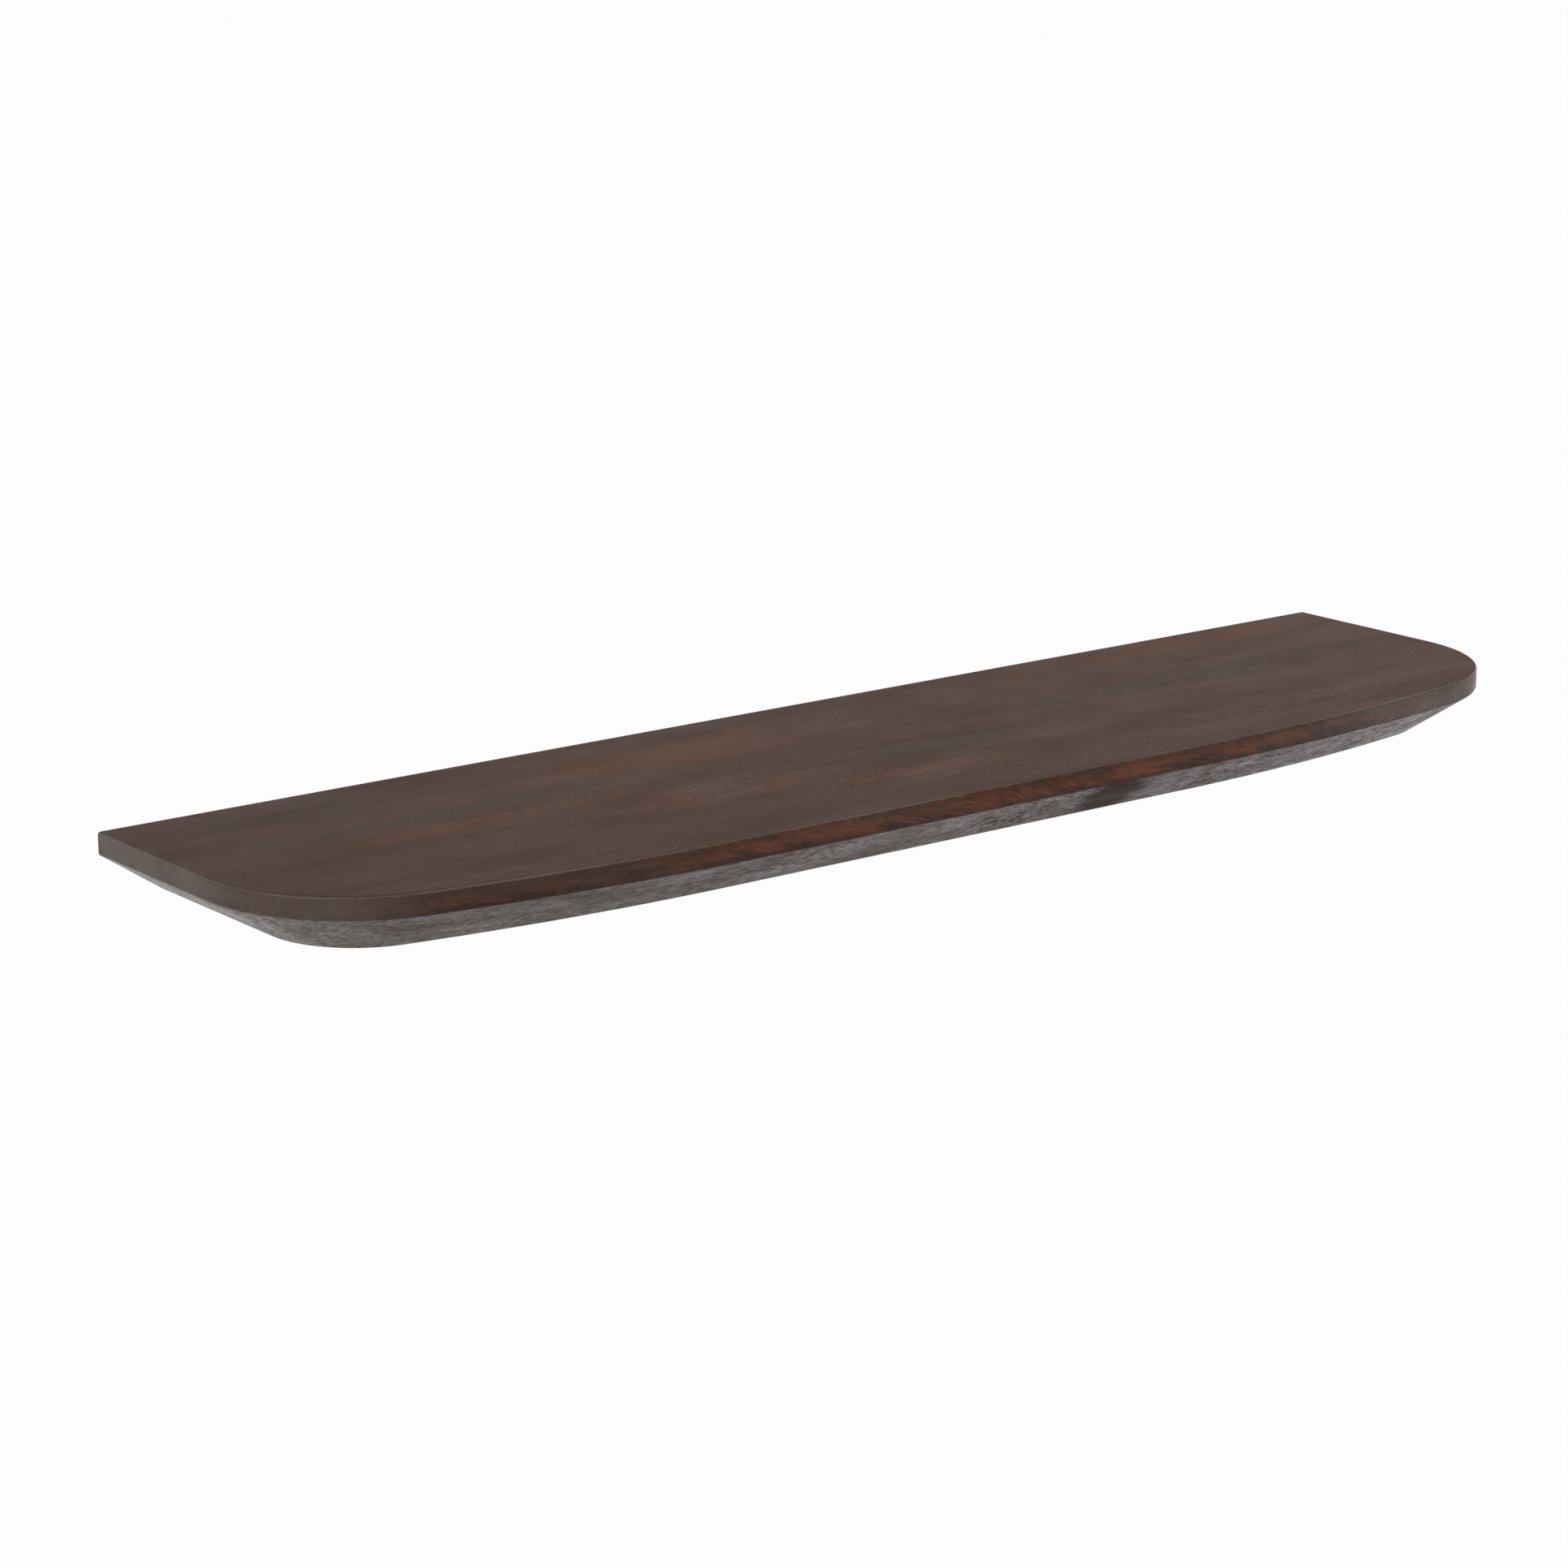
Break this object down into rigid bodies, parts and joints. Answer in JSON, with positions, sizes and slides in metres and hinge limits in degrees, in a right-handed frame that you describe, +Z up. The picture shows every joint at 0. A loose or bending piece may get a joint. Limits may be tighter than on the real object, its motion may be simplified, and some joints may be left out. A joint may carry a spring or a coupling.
{
  "type": "floating wall shelf",
  "caption": "Floating wall shelf: a dark hardwood board with rounded front corners and a bevelled underside, slid onto a hidden steel rod bracket.",
  "frame": {"origin": "centre of the rail's wall face, in the plane of the wall, at half the board's thickness", "axes": "+X along the shelf, to the right of someone who faces the wall; +Y into the wall; +Z up"},
  "size_m": [1, 0.25, 0.043],
  "materials": {
    "lacquered_wood": "satin lacquer",
    "rail_paint": "matt powder coat",
    "rod_steel": "bright zinc plate",
    "insert_brass": "machined",
    "screw_steel": "black oxide"
  },
  "bodies": {
    "bracket": {"wall_rail": "rail_paint", "support_rod_1": "rod_steel", "support_rod_2": "rod_steel", "support_rod_3": "rod_steel", "support_rod_4": "rod_steel"},
    "board": {"back_stave": "lacquered_wood", "middle_stave": "lacquered_wood", "front_stave": "lacquered_wood", "lock_insert_1": "insert_brass", "lock_insert_2": "insert_brass", "lock_insert_3": "insert_brass", "lock_insert_4": "insert_brass", "lock_screw_1": "screw_steel", "lock_screw_2": "screw_steel", "lock_screw_3": "screw_steel", "lock_screw_4": "screw_steel"}
  },
  "joints": [
    {"name": "board_slide", "type": "slide", "parent": "bracket", "child": "board", "axis": [0, -1, 0], "range_m": [0, 0.15]}
  ]
}
